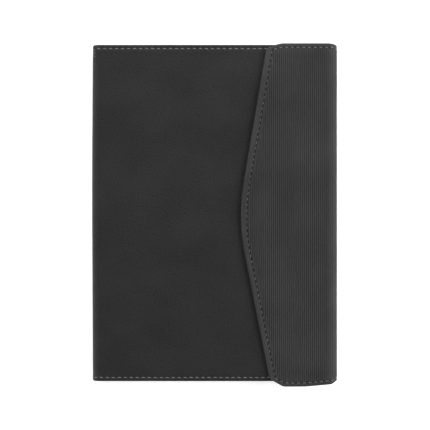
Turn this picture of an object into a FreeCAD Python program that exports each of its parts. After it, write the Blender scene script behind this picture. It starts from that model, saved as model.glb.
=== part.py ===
import FreeCAD, Part
import os
import re
import Sketcher
from FreeCAD import Placement, Rotation, Vector

# A closed A5 notebook cover, lying on its back cover with its flap shut.
# X runs from the spine (-X) to the fore-edge (+X), Y from the tail (-Y) to the head (+Y), Z is up.
# The origin is the centre of the bounding box's underside. The flap overhangs the case more at
# the tail than at the head, so the case's own middle lies a little towards the head.
#
# Five stiff panels (back cover, spine, front cover, gusset, flap) are joined by four strips of
# soft leather. A panel is a skin with turned-in hems, a board inside it and a lining sewn over both.
# All sizes are in millimetres.

SIZES = [
    # the case
    ("case_width", 160.0, "spine face to fore-edge face"),
    ("case_height", 220.0, "tail edge to head edge"),
    ("case_thickness", 20.0, "back face to front face, without the flap"),
    ("case_mid_y", 1.15, "middle of the case's height"),
    ("case_corner", 1.5, "corner radius of the covers"),
    ("cover_width", 149.5, "front cover, fold to free edge"),
    # panels
    ("skin", 1.0, "outer leather of the covers"),
    ("board", 1.8, "board in the covers"),
    ("lining", 0.6, "lining"),
    ("hem", 4.0, "width of a cover's turned-in hem"),
    ("thin_board", 1.4, "board in the spine and the gusset"),
    ("lining_inset", 1.0, "lining edge back from the panel edge"),
    ("fitting", 0.1, "play round a board in its hems"),
    ("board_gap", 3.0, "fold to the board of a cover or of the flap"),
    ("wall_gap", 1.2, "fold to the board of the spine or of the gusset"),
    # folds
    ("spine_radius", 5.0, "outside radius of the spine's two folds"),
    ("gusset_radius", 5.0, "outside radius of the fold below the gusset"),
    ("flap_radius", 6.2, "outside radius of the fold above the gusset"),
    ("flap_gap", 0.4, "front cover to flap lining"),
    # the flap
    ("flap_height", 223.5, "tail edge to head edge"),
    ("flap_skin", 0.9, "ribbed leather of the flap"),
    ("stiffener", 1.5, "board in the flap"),
    ("flap_hem", 5.0, "width of the flap's turned-in hem"),
    ("flap_point_x", 15.2, "where the two legs of the leading edge would meet"),
    ("flap_head_x", 34.7, "leading edge at the head"),
    ("flap_tail_x", 37.6, "leading edge at the tail"),
    ("flap_point_radius", 126.0, "rounding of the point"),
    ("flap_corner", 9.0, "rounding of the two free corners"),
    ("taper_length", 14.0, "stretch over which the tail edge draws in to the case"),
    # magnets
    ("disc_radius", 7.0, "magnets and the steel plates they catch"),
    ("magnet", 1.4, "thickness of a magnet"),
    ("plate", 1.5, "thickness of a steel plate"),
    ("magnet_x", 33.0, "magnets, from the middle of the case"),
    ("magnet_y", 22.0, "magnets, each side of the flap's middle"),
    ("disc_play", 0.1, "play round a magnet or a plate"),
    # writing pad
    ("pad_width", 148.0, "A5 sheet"),
    ("pad_height", 210.0, "A5 sheet"),
    ("pad_left", 0.5, "spine fold to the pad"),
    ("pad_lift", 0.1, "lining to the pad's card"),
    ("card", 1.0, "back card of the pad"),
    ("block", 9.8, "sheets of the pad"),
    ("block_lift", 1.9, "lining to the lowest sheet"),
    ("tape", 0.3, "thickness of the binding tape"),
    ("tape_width", 12.0, "tape over the top sheet"),
    ("pad_tail_gap", 5.0, "tail edge of the case to the pad"),
    # pockets
    ("pocket", 0.6, "material of the pockets"),
    ("pocket_lift", 1.2, "lining to the underside of the pad's pocket"),
    ("pocket_height", 70.0, "height of the pad's pocket"),
    ("pocket_side", 1.2, "sewn edge of the pad's pocket beside the card"),
    ("pocket_foot", 3.6, "sewn edge of the pad's pocket below the card"),
    ("sleeve_height", 150.0, "height of the document pocket"),
    ("slot_width", 92.0, "width of a card slot"),
    ("slot_height", 48.0, "height of a card slot"),
    ("slot_step", 56.0, "from one card slot to the next"),
    ("slot_x", -58.0, "left edge of the card slots"),
    ("tab_width", 20.0, "gusset leather carried on under the back cover"),
    # seams
    ("stitch_length", 2.4, "one stitch"),
    ("stitch_width", 0.7, "thread"),
    ("groove_width", 0.9, "groove that a seam lies in"),
    ("groove", 0.4, "depth of that groove"),
    ("cover_pitch", 3.9, "stitch to stitch on the covers"),
    ("flap_pitch", 3.6, "stitch to stitch on the flap"),
    ("cover_seam", 2.0, "seam back from a cover's edge"),
    ("flap_seam", 3.2, "seam back from the flap's edge"),
]
ALIASES = {alias for alias, _, _ in SIZES}

doc = FreeCAD.newDocument("leather_notebook_cover")
sheet = doc.addObject("Spreadsheet::Sheet", "sizes")
for row, (alias, number, meaning) in enumerate(SIZES, 1):
    sheet.set(f"A{row}", alias)
    sheet.set(f"B{row}", str(number))
    sheet.set(f"C{row}", meaning)
    sheet.setAlias(f"B{row}", alias)
doc.recompute()

nodes = []


# ---------------------------------------------------------------- formulas and features

def bound(formula):
    """The formula with each alias written as a reference to its cell."""
    return re.sub(r"[a-z_]+", lambda m: "sizes." + m[0] if m[0] in ALIASES else m[0], formula)


def value(formula):
    result = sheet.evalExpression(bound(formula))
    return float(getattr(result, "Value", result))


def new_body(label, z):
    """A node of its own, whose features start at the height z."""
    body = doc.addObject("PartDesign::Body", label)
    body.Label = label
    body.setExpression(".Placement.Base.z", bound(z))
    nodes.append(body)
    return body


def outline(body, name, corners, height="0"):
    """A closed sketch through the corners, parallel to XY, every corner bound to the sheet."""
    sketch = body.newObject("Sketcher::SketchObject", f"{body.Name}_{name}")
    plane = next(f for f in body.Origin.OriginFeatures if f.Role == "XY_Plane")
    sketch.AttachmentSupport = [(plane, "")]
    sketch.MapMode = "FlatFace"
    sketch.setExpression(".AttachmentOffset.Base.z", bound(height))
    points = [Vector(value(x), value(y), 0) for x, y in corners]
    count = len(points)
    for i in range(count):
        sketch.addGeometry(Part.LineSegment(points[i], points[(i + 1) % count]), False)
    for i in range(count):
        sketch.addConstraint(Sketcher.Constraint("Coincident", i, 2, (i + 1) % count, 1))
    for i, (x, y) in enumerate(corners):
        for kind, formula, number in (("DistanceX", x, points[i].x), ("DistanceY", y, points[i].y)):
            index = sketch.addConstraint(Sketcher.Constraint(kind, i, 1, number))
            sketch.setExpression(f"Constraints[{index}]", bound(formula))
    return sketch


def rectangle(left, right, tail, head):
    return [(left, tail), (right, tail), (right, head), (left, head)]


def pad(body, sketch, length):
    feature = body.newObject("PartDesign::Pad", sketch.Name + "_pad")
    feature.Profile = sketch
    feature.setExpression("Length", bound(length))
    doc.recompute()
    return feature


def pocket(body, sketch, length, upward):
    """Cut the sketch out of the body, towards +Z where upward is true."""
    before = body.Shape.Volume
    feature = body.newObject("PartDesign::Pocket", sketch.Name + "_pocket")
    feature.Profile = sketch
    feature.setExpression("Length", bound(length))
    feature.Reversed = upward
    doc.recompute()
    if body.Shape.Volume > before - 0.01:
        raise ValueError(f"{feature.Name} cuts nothing")
    return feature


def round_corners(body, corners, radius):
    """Fillet the upright edges that stand on the given corners."""
    base = body.Tip
    wanted = [(value(x), value(y)) for x, y in corners]
    names = []
    for number, edge in enumerate(base.Shape.Edges, 1):
        low, high = edge.Vertexes[0].Point, edge.Vertexes[-1].Point
        upright = abs(low.x - high.x) < 0.001 and abs(low.y - high.y) < 0.001
        if upright and any(abs(low.x - x) < 0.01 and abs(low.y - y) < 0.01 for x, y in wanted):
            names.append(f"Edge{number}")
    if not names:
        raise ValueError(f"{body.Label} has no edge to round")
    feature = body.newObject("PartDesign::Fillet", f"{base.Name}_round")
    feature.Base = (base, names)
    feature.setExpression("Radius", bound(radius))
    doc.recompute()
    return feature


def slab(label, corners, z, thickness):
    """A flat piece with the given outline."""
    body = new_body(label, z)
    pad(body, outline(body, "outline", corners), thickness)
    return body


# ---------------------------------------------------------------- seams

class Seam:
    """A straight row of stitches: start, direction in degrees, length and stitch pitch."""

    def __init__(self, x, y, angle, length, pitch):
        self.x, self.y, self.angle, self.length, self.pitch = x, y, angle, length, pitch

    def sketch(self, body, name, length, width, height):
        """A rectangle from the row's start along its direction."""
        corners = rectangle("0", length, f"-({width}) / 2", f"({width}) / 2")
        sketch = outline(body, name, corners, height)
        sketch.AttachmentOffset = Placement(Vector(), Rotation(Vector(0, 0, 1), value(self.angle)))
        sketch.setExpression(".AttachmentOffset.Base.x", bound(self.x))
        sketch.setExpression(".AttachmentOffset.Base.y", bound(self.y))
        sketch.setExpression(".AttachmentOffset.Rotation.Angle", bound(self.angle))
        return sketch


def cut_grooves(body, seams, height, upward):
    for i, seam in enumerate(seams):
        pocket(body, seam.sketch(body, f"groove{i}", seam.length, "groove_width", height),
               "groove", upward)


def thread(label, seams, z):
    """The stitches of a seam: separate solids that lie in its grooves."""
    body = new_body(label, z)
    body.AllowCompound = True
    for i, seam in enumerate(seams):
        sketch = seam.sketch(body, f"row{i}", "stitch_length", "stitch_width", "0")
        first = pad(body, sketch, "groove")
        row = body.newObject("PartDesign::LinearPattern", f"{body.Name}_row{i}_pattern")
        row.Originals = [first]
        row.Direction = (sketch, ["H_Axis"])
        steps = f"floor((({seam.length}) - stitch_length) / ({seam.pitch}))"
        row.setExpression("Length", bound(f"{steps} * ({seam.pitch})"))
        row.setExpression("Occurrences", bound(f"{steps} + 1"))
        body.Tip = row
        doc.recompute()
    return body


# ---------------------------------------------------------------- levels and edges

HEAD = "(case_mid_y + case_height / 2)"
TAIL = "(case_mid_y - case_height / 2)"
FOLD_LEFT = "(spine_radius - case_width / 2)"
FOLD_RIGHT = "(case_width / 2 - gusset_radius)"
FREE_EDGE = f"({FOLD_LEFT} + cover_width)"
FLAP_EDGE = "(case_width / 2 - flap_radius)"
PANEL = "(skin + board + lining)"
FRONT_FLOOR = f"(case_thickness - {PANEL})"
BACK_LINING_TOP = PANEL
FLAP_FLOOR = "(case_thickness + flap_gap)"
FLAP_TOP = f"({FLAP_FLOOR} + lining + stiffener + flap_skin)"
FOLD_TOP = f"({FLAP_TOP} - flap_radius)"
PAD_LEFT = f"({FOLD_LEFT} + pad_left)"
PAD_RIGHT = f"({PAD_LEFT} + pad_width)"
PAD_TAIL = f"({TAIL} + pad_tail_gap)"
PAD_HEAD = f"({PAD_TAIL} + pad_height)"


def cover_corners(right, inset, gap="0"):
    """A cover's outline, drawn in from its free edges by inset and from its spine fold by gap."""
    return rectangle(f"{FOLD_LEFT} + {gap}", f"{right} - {inset}", f"{TAIL} + {inset}",
                     f"{HEAD} - {inset}")


def flap_corners(inset, gap="0"):
    """The flap's outline from its fold round by the head to the tail, drawn in by inset from its
    free edges and by gap from its fold."""
    half = "flap_height / 2"
    head_slope = f"(flap_head_x - flap_point_x) / ({half})"
    tail_slope = f"(flap_tail_x - flap_point_x) / ({half})"
    head_shift = f"{inset} / cos(atan({head_slope}))"
    tail_shift = f"{inset} / cos(atan({tail_slope}))"
    level = f"({half} - {inset})"
    draw_in = f"({half} + {TAIL})"
    return [
        (f"{FLAP_EDGE} - {gap}", level),
        (f"flap_point_x + {level} * {head_slope} + {head_shift}", level),
        (f"flap_point_x + ({head_shift} + {tail_shift}) / 2", "0"),
        (f"flap_point_x + {level} * {tail_slope} + {tail_shift}", f"-{level}"),
        ("case_width / 2 - taper_length", f"-{level}"),
        (f"{FLAP_EDGE} - {gap}",
         f"-{level} + {draw_in} * (taper_length - flap_radius - {gap}) / taper_length"),
    ]


def round_flap(body, inset):
    """Round the flap's point and its two free corners."""
    corners = flap_corners(inset)
    round_corners(body, [corners[2]], f"flap_point_radius - {inset}")
    round_corners(body, [corners[1], corners[3]], f"flap_corner - {inset}")


# ---------------------------------------------------------------- front cover

def front_seams():
    inset = "cover_seam"
    across = f"cover_width - {inset}"
    return [
        Seam(FOLD_LEFT, f"{HEAD} - {inset}", "0", across, "cover_pitch"),
        Seam(FOLD_LEFT, f"{TAIL} + {inset}", "0", across, "cover_pitch"),
        Seam(f"{FREE_EDGE} - {inset}", f"{TAIL} + 2 * {inset}", "90",
             f"case_height - 4 * {inset}", "cover_pitch"),
    ]


def front_skin():
    body = new_body("front_skin", f"{FRONT_FLOOR} + lining")
    corners = cover_corners(FREE_EDGE, "0")
    pad(body, outline(body, "outline", corners), "board + skin")
    round_corners(body, corners[1:3], "case_corner")
    pocket(body, outline(body, "recess", cover_corners(FREE_EDGE, "hem")), "board", True)
    cut_grooves(body, front_seams(), "board + skin", False)


def disc_seats(body, height, depth):
    """Two round holes through a board, one for each disc."""
    sketch = body.newObject("Sketcher::SketchObject", body.Name + "_seats")
    plane = next(f for f in body.Origin.OriginFeatures if f.Role == "XY_Plane")
    sketch.AttachmentSupport = [(plane, "")]
    sketch.MapMode = "FlatFace"
    sketch.setExpression(".AttachmentOffset.Base.z", bound(height))
    for i, side in enumerate(("", "-")):
        centre = Vector(value("magnet_x"), value(f"{side}magnet_y"), 0)
        radius = value("disc_radius + disc_play")
        sketch.addGeometry(Part.Circle(centre, Vector(0, 0, 1), radius), False)
        for kind, formula in (("DistanceX", "magnet_x"), ("DistanceY", f"{side}magnet_y")):
            index = sketch.addConstraint(Sketcher.Constraint(kind, i, 3, value(formula)))
            sketch.setExpression(f"Constraints[{index}]", bound(formula))
        index = sketch.addConstraint(Sketcher.Constraint("Radius", i, radius))
        sketch.setExpression(f"Constraints[{index}]", bound("disc_radius + disc_play"))
    pocket(body, sketch, depth, True)


def discs(label, z, thickness):
    """Two round discs in one node, each side of the flap's middle."""
    pair = []
    for name, side in (("head", ""), ("tail", "-")):
        disc = doc.addObject("Part::Cylinder", f"{label}_{name}")
        disc.setExpression("Radius", bound("disc_radius"))
        disc.setExpression("Height", bound(thickness))
        disc.setExpression(".Placement.Base.x", bound("magnet_x"))
        disc.setExpression(".Placement.Base.y", bound(f"{side}magnet_y"))
        pair.append(disc)
    group = doc.addObject("Part::Compound", label)
    group.Label = label
    group.Links = pair
    group.setExpression(".Placement.Base.z", bound(z))
    nodes.append(group)


def front_cover():
    front_skin()
    board = slab("front_board", cover_corners(FREE_EDGE, "(hem + fitting)", "board_gap"),
                 f"{FRONT_FLOOR} + lining", "board")
    disc_seats(board, "0", "board")
    discs("catch_plates", f"{FRONT_FLOOR} + lining + board - plate", "plate")
    slab("front_lining", cover_corners(FREE_EDGE, "lining_inset"), FRONT_FLOOR, "lining")
    thread("front_seam", front_seams(), "case_thickness - groove")
    sleeve_tail = f"({TAIL} + hem)"
    slab("document_pocket",
         rectangle(f"{FOLD_LEFT} + hem", f"{FREE_EDGE} - hem", sleeve_tail,
                   f"{sleeve_tail} + sleeve_height"),
         f"{FRONT_FLOOR} - pocket", "pocket")
    for label, step in (("card_slot_lower", "0"), ("card_slot_upper", "slot_step")):
        foot = f"({sleeve_tail} + hem + {step})"
        slab(label, rectangle("slot_x", "slot_x + slot_width", foot, f"{foot} + slot_height"),
             f"{FRONT_FLOOR} - 2 * pocket", "pocket")


# ---------------------------------------------------------------- back cover

TAB_LEFT = f"({FOLD_RIGHT} - tab_width)"


def back_seams():
    inset = "cover_seam"
    across = f"{TAB_LEFT} - {FOLD_LEFT}"
    return [
        Seam(FOLD_LEFT, f"{HEAD} - {inset}", "0", across, "cover_pitch"),
        Seam(FOLD_LEFT, f"{TAIL} + {inset}", "0", across, "cover_pitch"),
    ]


def tab_seams():
    inset = "cover_seam"
    return [Seam(f"{TAB_LEFT} + {inset}", f"{TAIL} + {inset}", "90",
                 f"case_height - 2 * {inset}", "flap_pitch")]


def back_cover():
    # the black skin ends at the tab; its hems run on over the tab, inside the cover
    skin = new_body("back_skin", "0")
    pad(skin, outline(skin, "outline", rectangle(FOLD_LEFT, TAB_LEFT, TAIL, HEAD)), "skin + board")
    recess = rectangle(FOLD_LEFT, TAB_LEFT, f"{TAIL} + hem", f"{HEAD} - hem")
    pocket(skin, outline(skin, "recess", recess, "skin"), "board", True)
    cut_grooves(skin, back_seams(), "0", True)
    thread("back_seam", back_seams(), "0")

    # the ribbed leather comes round from the gusset and ends in this tab
    tab = new_body("gusset_tab", "0")
    pad(tab, outline(tab, "outline", rectangle(TAB_LEFT, FOLD_RIGHT, TAIL, HEAD)), "skin + board")
    recess = rectangle(TAB_LEFT, FOLD_RIGHT, f"{TAIL} + hem", f"{HEAD} - hem")
    pocket(tab, outline(tab, "recess", recess, "skin"), "board", True)
    cut_grooves(tab, tab_seams(), "0", True)
    thread("tab_seam", tab_seams(), "0")

    inset = "(hem + fitting)"
    slab("back_board",
         rectangle(f"{FOLD_LEFT} + board_gap", f"{FOLD_RIGHT} - board_gap", f"{TAIL} + {inset}",
                   f"{HEAD} - {inset}"),
         "skin", "board")
    slab("back_lining",
         rectangle(FOLD_LEFT, FOLD_RIGHT, f"{TAIL} + lining_inset", f"{HEAD} - lining_inset"),
         "skin + board", "lining")

    # the pad's pocket is sewn down along the tail and the fore-edge, and open elsewhere
    sleeve = new_body("pad_pocket", BACK_LINING_TOP)
    right = f"({FOLD_RIGHT} - fitting)"
    foot = f"({PAD_TAIL} - fitting * 3)"
    corners = rectangle(f"{PAD_LEFT} + hem", right, f"{foot} - pocket_foot",
                        f"{foot} + pocket_height")
    pad(sleeve, outline(sleeve, "outline", corners), "pocket_lift + pocket")
    hollow = rectangle(f"{PAD_LEFT} + hem", f"{right} - pocket_side", foot,
                       f"{foot} + pocket_height")
    pocket(sleeve, outline(sleeve, "hollow", hollow), "pocket_lift", True)


# ---------------------------------------------------------------- spine and gusset

def wall(prefix, face, inward, skin, foot, height):
    """An upright panel at X = face, whose board and lining lie on its inward side (+1 or -1)."""
    def depth(formula):
        return f"{face} + {inward} * ({formula})"

    corners = [
        (depth("0"), TAIL),
        (depth(f"{skin} + thin_board"), TAIL),
        (depth(f"{skin} + thin_board"), f"{TAIL} + hem"),
        (depth(skin), f"{TAIL} + hem"),
        (depth(skin), f"{HEAD} - hem"),
        (depth(f"{skin} + thin_board"), f"{HEAD} - hem"),
        (depth(f"{skin} + thin_board"), HEAD),
        (depth("0"), HEAD),
    ]
    slab(f"{prefix}_skin", corners, foot, height)
    inset = "(hem + fitting)"
    slab(f"{prefix}_board",
         rectangle(depth(skin), depth(f"{skin} + thin_board"), f"{TAIL} + {inset}",
                   f"{HEAD} - {inset}"),
         f"{foot} + wall_gap", f"{height} - 2 * wall_gap")
    slab(f"{prefix}_lining",
         rectangle(depth(f"{skin} + thin_board"), depth(f"{skin} + thin_board + lining"),
                   f"{TAIL} + lining_inset", f"{HEAD} - lining_inset"),
         foot, height)


def spine():
    wall("spine", "(-case_width / 2)", "1", "skin", "spine_radius",
         "(case_thickness - 2 * spine_radius)")


def gusset():
    wall("gusset", "(case_width / 2)", "-1", "flap_skin", "gusset_radius",
         f"({FOLD_TOP} - gusset_radius)")


# ---------------------------------------------------------------- flap

def flap_seams():
    inset = "flap_seam"
    corners = flap_corners(inset)
    half = "flap_height / 2"
    level = f"({half} - {inset})"
    rows = []
    for corner, sign in ((corners[1], "1"), (corners[3], "-1")):
        run = f"({corner[0]} - ({corners[2][0]}))"
        rows.append(Seam(
            f"{corners[2][0]} + {run} * 0.1", f"{sign} * {level} * 0.1",
            f"{sign} * (90 deg - atan({run} / {level}))",
            f"0.84 * sqrt(pow({run}; 2) + pow({level}; 2))", "flap_pitch"))
    head_start, tail_start = f"({corners[1][0]} + flap_corner)", f"({corners[3][0]} + flap_corner)"
    rows.append(Seam(head_start, level, "0", f"{FLAP_EDGE} - {head_start}", "flap_pitch"))
    rows.append(Seam(tail_start, f"-{level}", "0",
                     f"case_width / 2 - taper_length - {tail_start}", "flap_pitch"))
    return rows


def flap():
    skin_floor = f"{FLAP_FLOOR} + lining"
    skin = new_body("flap_skin", skin_floor)
    pad(skin, outline(skin, "outline", flap_corners("0")), "stiffener + flap_skin")
    round_flap(skin, "0")
    pocket(skin, outline(skin, "recess", flap_corners("flap_hem")), "stiffener", True)
    cut_grooves(skin, flap_seams(), "stiffener + flap_skin", False)
    thread("flap_seam", flap_seams(), f"{FLAP_TOP} - groove")

    board = slab("flap_stiffener", flap_corners("(flap_hem + fitting)", "board_gap"), skin_floor,
                 "stiffener")
    disc_seats(board, "0", "stiffener")
    discs("flap_magnets", skin_floor, "magnet")
    lining = slab("flap_lining", flap_corners("lining_inset"), FLAP_FLOOR, "lining")
    round_flap(lining, "lining_inset")


# ---------------------------------------------------------------- folds

def fold(label, x, z, radius, thickness, turn):
    """A quarter of a tube along Y: one soft strip, its quarter starting at turn degrees."""
    height = "case_height"
    quarter = []
    for name, size in (("outside", radius), ("inside", f"({radius} - {thickness})")):
        tube = doc.addObject("Part::Cylinder", f"{label}_{name}")
        tube.Angle = 90
        tube.setExpression("Radius", bound(size))
        tube.setExpression("Height", bound(height))
        quarter.append(tube)
    strip = doc.addObject("Part::Cut", label)
    strip.Label = label
    strip.Base, strip.Tool = quarter
    # the tube's own axis Z is laid along -Y, and its quarter is turned about it
    strip.Placement = Placement(Vector(), Rotation(Vector(1, 0, 0), 90)
                                * Rotation(Vector(0, 0, 1), turn))
    strip.setExpression(".Placement.Base.x", bound(x))
    strip.setExpression(".Placement.Base.y", bound(HEAD))
    strip.setExpression(".Placement.Base.z", bound(z))
    nodes.append(strip)


def folds():
    leather = "(skin + lining)"
    ribbed = "(flap_skin + lining)"
    fold("spine_fold_lower", FOLD_LEFT, "spine_radius", "spine_radius", leather, 180)
    fold("spine_fold_upper", FOLD_LEFT, "case_thickness - spine_radius", "spine_radius", leather, 90)
    fold("gusset_fold", FOLD_RIGHT, "gusset_radius", "gusset_radius", ribbed, 270)
    fold("flap_fold", FLAP_EDGE, FOLD_TOP, "flap_radius", ribbed, 0)


# ---------------------------------------------------------------- writing pad

def writing_pad():
    sheet_corners = rectangle(PAD_LEFT, PAD_RIGHT, PAD_TAIL, PAD_HEAD)
    slab("pad_card", sheet_corners, f"{BACK_LINING_TOP} + pad_lift", "card")
    slab("page_block", sheet_corners, f"{BACK_LINING_TOP} + block_lift", "block")
    # the tape wraps the pad's head: over the top sheet and down to the foot of the card
    tape = new_body("binding_tape", f"{BACK_LINING_TOP} + pad_lift")
    tall = "(block_lift - pad_lift + block + tape)"
    band = rectangle(PAD_LEFT, PAD_RIGHT, f"{PAD_HEAD} - tape_width", f"{PAD_HEAD} + tape")
    pad(tape, outline(tape, "outline", band), tall)
    inner = rectangle(PAD_LEFT, PAD_RIGHT, f"{PAD_HEAD} - tape_width", PAD_HEAD)
    pocket(tape, outline(tape, "inside", inner), f"{tall} - tape", True)


front_cover()
back_cover()
spine()
gusset()
flap()
folds()
writing_pad()
doc.recompute()

for item in doc.Objects:
    if "Invalid" in item.State or "Error" in item.State:
        raise RuntimeError(f"{item.Label} failed to recompute")
for node in nodes:
    if node.Shape.isNull() or not node.Shape.isValid():
        raise RuntimeError(f"{node.Label} has no valid shape")

os.makedirs("parts", exist_ok=True)
for node in nodes:
    node.Shape.exportStep(f"parts/{node.Label}.step")
    box = node.Shape.BoundBox
    print(f"{node.Label:18} solids {len(node.Shape.Solids):3}  volume {node.Shape.Volume:10.1f}  "
          f"x {box.XMin:7.2f} {box.XMax:7.2f}  y {box.YMin:8.2f} {box.YMax:8.2f}  "
          f"z {box.ZMin:6.2f} {box.ZMax:6.2f}")
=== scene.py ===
import math
import random
from collections import namedtuple

import bmesh
import bpy
import numpy as np
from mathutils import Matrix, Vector, geometry, noise


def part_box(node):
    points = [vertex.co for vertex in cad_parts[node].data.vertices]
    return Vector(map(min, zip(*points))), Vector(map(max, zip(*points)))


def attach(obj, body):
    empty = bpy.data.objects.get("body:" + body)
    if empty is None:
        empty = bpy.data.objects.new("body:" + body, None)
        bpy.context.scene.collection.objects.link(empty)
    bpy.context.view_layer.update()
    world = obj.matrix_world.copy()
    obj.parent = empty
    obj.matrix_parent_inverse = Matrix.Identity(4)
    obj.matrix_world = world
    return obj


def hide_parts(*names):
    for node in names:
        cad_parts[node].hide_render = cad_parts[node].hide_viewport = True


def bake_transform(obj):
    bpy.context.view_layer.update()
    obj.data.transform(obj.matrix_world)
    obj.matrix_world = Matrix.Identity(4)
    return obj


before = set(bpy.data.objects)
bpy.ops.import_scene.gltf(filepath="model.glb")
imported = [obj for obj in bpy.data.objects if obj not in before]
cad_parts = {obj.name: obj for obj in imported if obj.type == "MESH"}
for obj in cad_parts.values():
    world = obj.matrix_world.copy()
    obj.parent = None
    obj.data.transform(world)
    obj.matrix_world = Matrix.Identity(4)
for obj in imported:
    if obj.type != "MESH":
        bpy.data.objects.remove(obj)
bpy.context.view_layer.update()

# A closed notebook cover. Its leather is flat goods, so each sheet is drawn flat and then laid
# along its path: s is the distance along the sheet's outer face, y runs from tail to head, and
# depth is the distance inwards from that face. Lengths are in millimetres until a mesh is made.

MM = 0.001
rng = random.Random(7)


def box(node):
    """Lowest and highest corner of a CAD node, in millimetres."""
    low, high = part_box(node)
    return low / MM, high / MM


# ---- sizes

front_low, front_high = box("front_skin")
spine_low, spine_high = box("spine_skin")
back_low, back_high = box("back_skin")
tab_low, tab_high = box("gusset_tab")
gusset_low, gusset_high = box("gusset_skin")
flap_low, flap_high = box("flap_skin")
lining_low, lining_high = box("front_lining")
spine_lining_low, _ = box("spine_lining")
_, gusset_lining_high = box("gusset_lining")

HEAD, TAIL = front_high.y, front_low.y
PROUD_HEAD, PROUD_TAIL = 0.2, 0.4
FLAP_HEAD, FLAP_TAIL = flap_high.y + PROUD_HEAD, flap_low.y - PROUD_TAIL
TOP = front_high.z
SPINE_RADIUS = front_low.x - spine_low.x
GUSSET_RADIUS = gusset_high.x - tab_high.x
FLAP_RADIUS = gusset_high.x - flap_high.x
SPINE_MIDDLE = (spine_low.z + spine_high.z) / 2
GUSSET_MIDDLE = (gusset_low.z + gusset_high.z) / 2
QUARTER = math.pi / 2

COVER_THICKNESS = TOP - front_low.z
FLAP_THICKNESS = flap_high.z - flap_low.z
SPINE_THICKNESS = spine_lining_low.x - spine_low.x
GUSSET_THICKNESS = gusset_high.x - gusset_lining_high.x
FOLD_THICKNESS = 1.7
SKIN = 1.0
LINING = lining_high.z - lining_low.z
BOARD_TAPER = 3.0
WALL_TAPER = 1.2

EDGE_ROLL = 1.0
UNDER_ROLL = 0.6
HEM = 4.0
COVER_CORNER = 2.2

COVER_SEAM = 2.5
COVER_PITCH = 3.9
TACK_PITCH = 1.9
TACK_LENGTH = 6.0
FLAP_SEAM = 2.5
HEAD_ROW_SEAM = 2.75
HEAD_LEG_SEAM = 4.0
TAIL_LEG_SEAM = 3.5
FLAP_PITCH = 3.75
RIB_PITCH = 1.34
RIB_HEIGHT = 0.34
MARGIN_PRESS = 0.08
SPINE_BULGE = 0.42
CROWN = 0.16

FLAP_POINT_X = 14.85
FLAP_POINT_Y = -2.1
FLAP_POINT_RADIUS = 126.0


# ---- laying flat sheets along a path

def unit(angle):
    return np.array([math.cos(angle), math.sin(angle)])


def leftward(ahead):
    """A direction, or each row of directions, turned a quarter to the left."""
    return np.stack([-ahead[..., 1], ahead[..., 0]], -1)


class Path:
    """A line of straight runs and arcs in the XZ plane that turns anticlockwise round the case."""

    def __init__(self, x, z, heading, runs):
        self.runs = []
        s, point, angle = 0.0, np.array([x, z]), math.radians(heading)
        for length, radius in runs:
            self.runs.append((s, length, radius, point, angle))
            if radius:
                centre = point + radius * leftward(unit(angle))
                angle += length / radius
                point = centre - radius * leftward(unit(angle))
            else:
                point = point + length * unit(angle)
            s += length
        self.length = s

    def bends(self):
        """Start and end of each arc."""
        return [(s, s + length) for s, length, radius, _, _ in self.runs if radius]

    def place(self, s, y, depth):
        """Points in metres for arrays of s, y and depth."""
        s, y, depth = np.broadcast_arrays(*(np.asarray(a, float) for a in (s, y, depth)))
        out = np.zeros((len(s), 3))
        out[:, 1] = y
        for i, (start, length, radius, point, angle) in enumerate(self.runs):
            first, last = i == 0, i == len(self.runs) - 1
            mine = (s >= start) | first
            mine &= (s < start + length) | last
            along, ahead = s[mine] - start, unit(angle)
            if radius:
                turned = angle + along / radius
                normal = np.stack([np.sin(turned), -np.cos(turned)], 1)
                centre = point + radius * leftward(ahead)
                flat = centre + normal * (radius - depth[mine])[:, None]
            else:
                flat = point + along[:, None] * ahead + leftward(ahead) * depth[mine][:, None]
            out[np.ix_(mine, [0, 2])] = flat
        return out * MM


def turn(radius):
    """A run that is a quarter turn."""
    return (radius * QUARTER, radius)


front_path = Path(front_high.x, TOP, 180, [
    (front_high.x - front_low.x, 0), turn(SPINE_RADIUS), (spine_high.z - SPINE_MIDDLE, 0)])
back_path = Path(spine_low.x, SPINE_MIDDLE, 270, [
    (SPINE_MIDDLE - spine_low.z, 0), turn(SPINE_RADIUS), (back_high.x - back_low.x, 0)])
tab_path = Path(tab_low.x, 0, 0, [
    (tab_high.x - tab_low.x, 0), turn(GUSSET_RADIUS), (GUSSET_MIDDLE - gusset_low.z, 0)])
flap_path = Path(gusset_high.x, GUSSET_MIDDLE, 90, [
    (gusset_high.z - GUSSET_MIDDLE, 0), turn(FLAP_RADIUS), (flap_high.x - flap_low.x, 0)])


def smooth(t):
    t = np.clip(t, 0, 1)
    return t * t * (3 - 2 * t)


def thickness_over(bend, before, after):
    """Thickness of skin and board at s. before and after the bend are the full thickness of a
    panel and the distance over which it is reached; the bend itself is thin."""
    def at(s):
        s = np.asarray(s, float)
        out = np.full(s.shape, FOLD_THICKNESS)
        for inside, (thick, taper) in ((bend[0] - s, before), (s - bend[1], after)):
            out += (thick - FOLD_THICKNESS) * smooth(inside / taper + 1e-9)
        return out
    return at


(front_bend,), (back_bend,) = front_path.bends(), back_path.bends()
(tab_bend,), (flap_bend,) = tab_path.bends(), flap_path.bends()
cover_panel, flap_panel = (COVER_THICKNESS, BOARD_TAPER), (FLAP_THICKNESS, BOARD_TAPER)
spine_wall, gusset_wall = (SPINE_THICKNESS, WALL_TAPER), (GUSSET_THICKNESS, WALL_TAPER)
front_thickness = thickness_over(front_bend, cover_panel, spine_wall)
back_thickness = thickness_over(back_bend, spine_wall, cover_panel)
tab_thickness = thickness_over(tab_bend, cover_panel, gusset_wall)
flap_thickness = thickness_over(flap_bend, gusset_wall, flap_panel)


# ---- outlines

COARSE, FINE = 3.0, 0.45


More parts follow.
